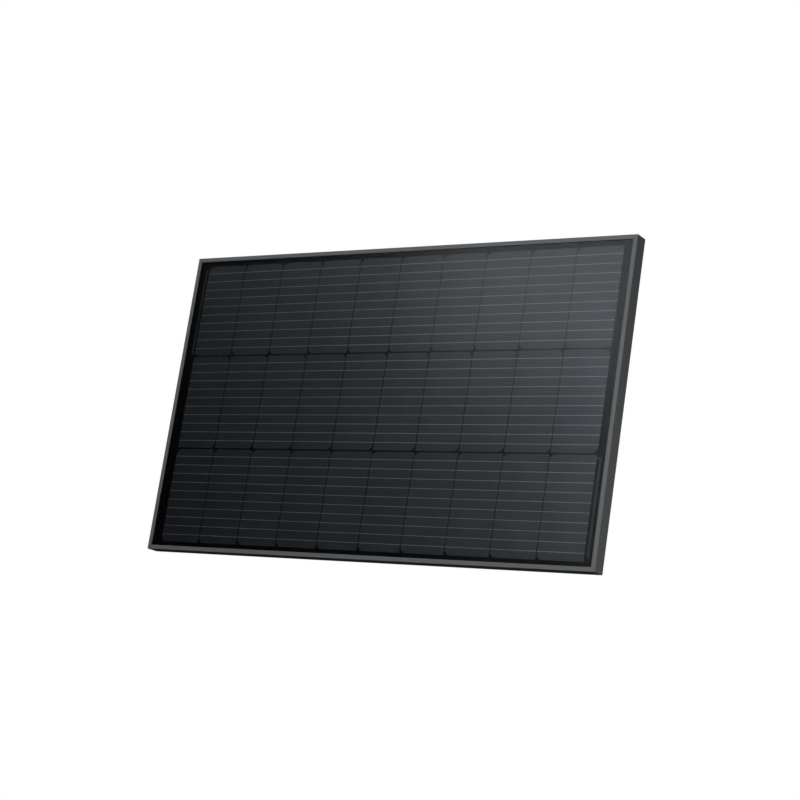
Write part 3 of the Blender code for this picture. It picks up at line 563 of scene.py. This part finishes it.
def make_smoothing(limit):
    """A geometry node group that shades smooth across every edge flatter than the limit."""
    group = bpy.data.node_groups.new("smooth_flat_edges", "GeometryNodeTree")
    for way in ("INPUT", "OUTPUT"):
        group.interface.new_socket("Geometry", in_out=way, socket_type="NodeSocketGeometry")
    shape = group.nodes.new("NodeGroupInput").outputs[0]
    for attribute in ("custom_normal", "sharp_edge", "sharp_face"):
        drop = group.nodes.new("GeometryNodeRemoveAttribute")
        drop.inputs["Name"].default_value = attribute
        group.links.new(shape, drop.inputs["Geometry"])
        shape = drop.outputs["Geometry"]
    angle = group.nodes.new("GeometryNodeInputMeshEdgeAngle")
    steep = group.nodes.new("FunctionNodeCompare")
    steep.operation = "GREATER_THAN"
    steep.inputs["B"].default_value = limit
    group.links.new(angle.outputs["Unsigned Angle"], steep.inputs["A"])
    sharpen = group.nodes.new("GeometryNodeSetShadeSmooth")
    sharpen.domain = "EDGE"
    sharpen.inputs["Shade Smooth"].default_value = False
    group.links.new(steep.outputs["Result"], sharpen.inputs["Selection"])
    group.links.new(shape, sharpen.inputs["Geometry"])
    out = group.nodes.new("NodeGroupOutput")
    group.links.new(sharpen.outputs["Geometry"], out.inputs[0])
    return group


smoothing = make_smoothing(NODE_SHARP_ANGLE)


def dress(name, material):
    """Gives a CAD node its material, joins its loose triangles and shades its round faces smooth."""
    obj = nodes[name]
    for slot in obj.material_slots:
        slot.material = materials[material]
    obj.modifiers.new("join", "WELD").merge_threshold = WELD_DISTANCE
    obj.modifiers.new("smooth", "NODES").node_group = smoothing
    flats = obj.modifiers.new("flats", "WEIGHTED_NORMAL")
    flats.keep_sharp = True
    flats.weight = FLAT_FACE_WEIGHT


CELLS = [
    [f"cell_row{row + 1}_column{column + 1:02d}" for column in range(COLUMNS)]
    for row in range(ROWS)
]

# Material of each CAD node other than the cells.
NODE_MATERIALS = {
    "frame_rail_bottom": "frame_along_x",
    "frame_rail_top": "frame_along_x",
    "frame_rail_left": "frame_along_z",
    "frame_rail_right": "frame_along_z",
    "corner_key_bottom_left": "aluminium",
    "corner_key_bottom_right": "aluminium",
    "corner_key_top_left": "aluminium",
    "corner_key_top_right": "aluminium",
    "edge_seal": "rubber",
    "front_glass": "glass",
    "front_encapsulant": "clear_film",
    "rear_encapsulant": "black_film",
    "backsheet": "backsheet",
    "rating_label": "label",
    "string_link_right": "coated_link",
    "string_link_left": "coated_link",
    "output_ribbon_positive": "ribbon",
    "output_ribbon_negative": "ribbon",
    "junction_box_adhesive": "silicone",
    "junction_box_base": "plastic",
    "junction_box_gasket": "rubber",
    "junction_box_lid": "plastic",
    "lid_hinge_pin": "steel",
    "terminal_positive": "brass",
    "terminal_negative": "brass",
    "bypass_diode": "epoxy",
    "gland_nut_left": "plastic",
    "gland_nut_right": "plastic",
    "gland_seal_left": "rubber",
    "gland_seal_right": "rubber",
}

for name, material in NODE_MATERIALS.items():
    dress(name, material)
for row in CELLS:
    for name in row:
        dress(name, "silicon")

# ---------------------------------------------------------------- pieces of its own


def piece(name, form, material, body="panel"):
    """A finished piece from a bmesh, shaded smooth, that rides on a body."""
    bmesh.ops.recalc_face_normals(form, faces=form.faces)
    mesh = bpy.data.meshes.new(name)
    form.to_mesh(mesh)
    form.free()
    mesh.shade_smooth()
    mesh.set_sharp_from_angle(angle=PIECE_SHARP_ANGLE)
    mesh.materials.append(materials[material])
    obj = bpy.data.objects.new(name, mesh)
    bpy.context.scene.collection.objects.link(obj)
    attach(obj, body)
    return obj


def skin(form, rings, closed=False):
    """Faces through rings of equally many points, capped at the ends or closed in a loop."""
    made = [[form.verts.new(point) for point in ring] for ring in rings]
    pairs = list(zip(made, made[1:]))
    if closed:
        pairs.append((made[-1], made[0]))
    else:
        form.faces.new(made[0])
        form.faces.new(made[-1])
    for ring, other in pairs:
        for i in range(len(ring)):
            k = (i + 1) % len(ring)
            form.faces.new((ring[i], ring[k], other[k], other[i]))


def oval(centre, across, up, steps):
    """Points round an oval, from its middle and its two half axes."""
    turns = (2 * math.pi * i / steps for i in range(steps))
    return [centre + across * math.cos(t) + up * math.sin(t) for t in turns]


def wire(form, low, high, z):
    """One wire over a cell, from its start pad across and down behind the next cell."""
    front = low.y - WIRE_HEIGHT / 2 + WIRE_SUNK
    behind = high.y + WIRE_HEIGHT
    path = (
        (low.x + WIRE_INSET, front),
        (high.x - CELL_GAP / 2, front),
        (high.x + CELL_GAP * DIVE_START, front + (behind - front) * DIVE_START_DROP),
        (high.x + CELL_GAP * DIVE_END, behind),
    )
    across = Vector((0, 0, WIRE_WIDTH / 2))
    up = Vector((0, -WIRE_HEIGHT / 2, 0))
    skin(form, [oval(Vector((x, y, z)), across, up, WIRE_SIDES) for x, y in path])


def pad(form, x, y, z):
    """A low blob of solder that holds the wire down."""
    rings = []
    for rise, spread in PAD_OUTLINE:
        centre = Vector((x, y - PAD_HEIGHT * rise, z))
        half = Vector((PAD_LENGTH / 2 * spread, 0, 0))
        rings.append(oval(centre, half, Vector((0, 0, PAD_WIDTH / 2 * spread)), PAD_SIDES))
    skin(form, rings)


def make_wires(row):
    """All wires on one string of cells, and the solder at their ends."""
    wires = bmesh.new()
    pads = bmesh.new()
    pad_inset = PAD_LENGTH / 2 + WIRE_INSET
    for name in CELLS[row]:
        low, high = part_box(name)
        for i in range(WIRES_PER_CELL):
            z = high.z - WIRE_FROM_CELL_TOP - i * WIRE_PITCH
            wire(wires, low, high, z)
            pad(pads, low.x + pad_inset, low.y, z)
            pad(pads, high.x - pad_inset, low.y, z)
    piece(f"cell_wires_row{row + 1}", wires, "wire")
    piece(f"solder_pads_row{row + 1}", pads, "solder")


def loop_path(low, high, radius, step):
    """Points in x and z round a rectangle with round corners, about a step apart."""
    corners = (
        (high.x - radius, high.z - radius, 0),
        (low.x + radius, high.z - radius, 90),
        (low.x + radius, low.z + radius, 180),
        (high.x - radius, low.z + radius, 270),
    )
    bends = []
    for x, z, start in corners:
        turns = [math.radians(start + 90 * i / BEND_STEPS) for i in range(BEND_STEPS + 1)]
        bends.append([Vector((x + radius * math.cos(t), z + radius * math.sin(t))) for t in turns])
    path = []
    for bend, following in zip(bends, bends[1:] + bends[:1]):
        path += bend
        run = following[0] - bend[-1]
        count = max(1, round(run.length / step))
        path += [bend[-1] + run * (i / count) for i in range(1, count)]
    return path


def make_bead(name, low, high, corner, y, radius, material):
    """A bead of silicone laid round a rectangle, a little uneven as it is when squeezed out."""
    form = bmesh.new()
    path = loop_path(low, high, corner, BEAD_STEP)
    rings = []
    for i, point in enumerate(path):
        along = (path[(i + 1) % len(path)] - path[i - 1]).normalized()
        outward = Vector((along.y, 0, -along.x))
        swell = 1.0 + sum(part * math.sin(i * turn + first) for part, turn, first in SWELLS)
        reach = radius * swell
        centre = Vector((point.x, y, point.y))
        rings.append(oval(centre, outward * reach, Vector((0, reach, 0)), BEAD_SIDES))
    skin(form, rings, closed=True)
    piece(name, form, material)


def make_mitre_sealant():
    """The thin seam of sealant in the four mitres: it fills the lip, the wall and the flange."""
    edge = SEAM_INSET
    step = SEAM_INSET + SEAM_CHAMFER
    outline = (
        (step, edge),
        (LIP_WIDTH - edge, edge),
        (LIP_WIDTH - edge, WALL - edge),
        (WALL - edge, WALL - edge),
        (WALL - edge, FRAME_DEPTH - WALL + edge),
        (FLANGE_WIDTH - edge, FRAME_DEPTH - WALL + edge),
        (FLANGE_WIDTH - edge, FRAME_DEPTH - edge),
        (step, FRAME_DEPTH - edge),
        (edge, FRAME_DEPTH - step),
        (edge, step),
    )
    low, high = cad_box
    form = bmesh.new()
    for side, upright in CORNERS:
        half = Vector((side, 0, -upright)).normalized() * (SEAM_THICKNESS / 2)
        ring = [
            Vector((side * (high.x - inward), low.y + depth, upright * (high.z - inward)))
            for inward, depth in outline
        ]
        skin(form, [[point - half for point in ring], [point + half for point in ring]])
    bmesh.ops.triangulate(form, faces=[face for face in form.faces if len(face.verts) > 4])
    piece("mitre_sealant", form, "black_silicone")


def bar(form, centre, half_x, half_z, height):
    """A low bar with bevelled edges, raised along +Y."""
    rings = []
    for rise, shrink in SIGN_OUTLINE:
        y = centre.y + height * rise
        dx = half_x - height * shrink
        dz = half_z - height * shrink
        rings.append([Vector((centre.x + sx * dx, y, centre.z + sz * dz)) for sx, sz in CORNERS])
    skin(form, rings)


def make_sign(name, nut, plus):
    """A raised plus or minus sign on the lid, over the nut of its gland."""
    low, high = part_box("junction_box_lid")
    nut_low, nut_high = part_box(nut)
    x = (nut_low.x + nut_high.x) / 2
    form = bmesh.new()
    centre = Vector((x, high.y - LID_RECESS - SIGN_SUNK, low.z + SIGN_ABOVE_LID_EDGE))
    bar(form, centre, SIGN_LENGTH / 2, SIGN_WIDTH / 2, SIGN_HEIGHT)
    if plus:
        reach = (SIGN_LENGTH - SIGN_WIDTH) / 4
        for way in (-1, 1):
            middle = centre + Vector((0, 0, way * (SIGN_WIDTH / 2 + reach)))
            bar(form, middle, SIGN_WIDTH / 2, reach, SIGN_HEIGHT)
    piece(name, form, "plastic", "junction_box_lid")


for row in range(ROWS):
    make_wires(row)
make_mitre_sealant()

shelf = Vector((SEALANT_FROM_OUTSIDE, 0, SEALANT_FROM_OUTSIDE))
backsheet_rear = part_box("backsheet")[1].y
make_bead(
    "backsheet_sealant",
    cad_box[0] + shelf,
    cad_box[1] - shelf,
    SEALANT_CORNER,
    backsheet_rear + SEALANT_RADIUS - SEALANT_SINK,
    SEALANT_RADIUS,
    "black_silicone",
)
foot_low, foot_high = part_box("junction_box_adhesive")
make_bead(
    "junction_box_bead",
    foot_low,
    foot_high,
    BOX_BEAD_CORNER,
    (foot_low.y + foot_high.y) / 2,
    BOX_BEAD_RADIUS,
    "silicone",
)
make_sign("plus_sign", "gland_nut_left", plus=True)
make_sign("minus_sign", "gland_nut_right", plus=False)

# ---------------------------------------------------------------- camera, light and floor

scene = bpy.context.scene


def make_camera():
    data = bpy.data.cameras.new("camera")
    data.lens = CAMERA_LENS
    camera = bpy.data.objects.new("camera", data)
    camera.location = CAMERA_PLACE
    towards = Vector(CAMERA_AIM) - Vector(CAMERA_PLACE)
    camera.rotation_mode = "QUATERNION"
    level = towards.to_track_quat("-Z", "Y")
    camera.rotation_quaternion = level @ Quaternion((0, 0, 1), CAMERA_ROLL)
    scene.collection.objects.link(camera)
    scene.camera = camera


def make_light(name, place, aim, width, height, watts):
    data = bpy.data.lights.new(name, "AREA")
    data.shape = "RECTANGLE"
    data.size = width
    data.size_y = height
    data.energy = watts
    data.color = LIGHT_TINT
    light = bpy.data.objects.new(name, data)
    light.location = place
    light.rotation_euler = (Vector(aim) - Vector(place)).to_track_quat("-Z", "Y").to_euler()
    light.visible_camera = False
    scene.collection.objects.link(light)


def make_surroundings():
    """White all round to the camera, and a low even light on the panel."""
    world = bpy.data.worlds.new("studio")
    world.use_nodes = True
    tree = world.node_tree
    seen = add(tree, "ShaderNodeBackground", {"Color": (1, 1, 1, 1), "Strength": BACKGROUND})
    cast = add(tree, "ShaderNodeBackground", {"Color": (1, 1, 1, 1), "Strength": AMBIENT})
    straight = add(tree, "ShaderNodeLightPath").outputs["Is Camera Ray"]
    mix = add(tree, "ShaderNodeMixShader", {0: straight, 1: cast.outputs[0], 2: seen.outputs[0]})
    tree.links.new(mix.outputs[0], tree.nodes["World Output"].inputs["Surface"])
    scene.world = world
    scene.view_settings.view_transform = "Standard"


def make_floor():
    form = bmesh.new()
    bmesh.ops.create_circle(form, cap_ends=True, segments=FLOOR_SIDES, radius=FLOOR_RADIUS)
    mesh = bpy.data.meshes.new("floor")
    form.to_mesh(mesh)
    form.free()
    material, tree, shader = new_material("pale_floor")
    connect(tree, shader, base_color=grey(0.8), roughness=0.9, emission_strength=FLOOR_GLOW)
    shader.inputs["Emission Color"].default_value = (1, 1, 1, 1)
    mesh.materials.append(material)
    floor = bpy.data.objects.new("floor", mesh)
    floor.location.z = FLOOR_HEIGHT
    floor.visible_diffuse = False
    floor.visible_glossy = False
    scene.collection.objects.link(floor)


make_camera()
for name, (place, aim, width, height, watts) in LIGHTS.items():
    make_light(name, place, aim, width, height, watts)
make_surroundings()
make_floor()
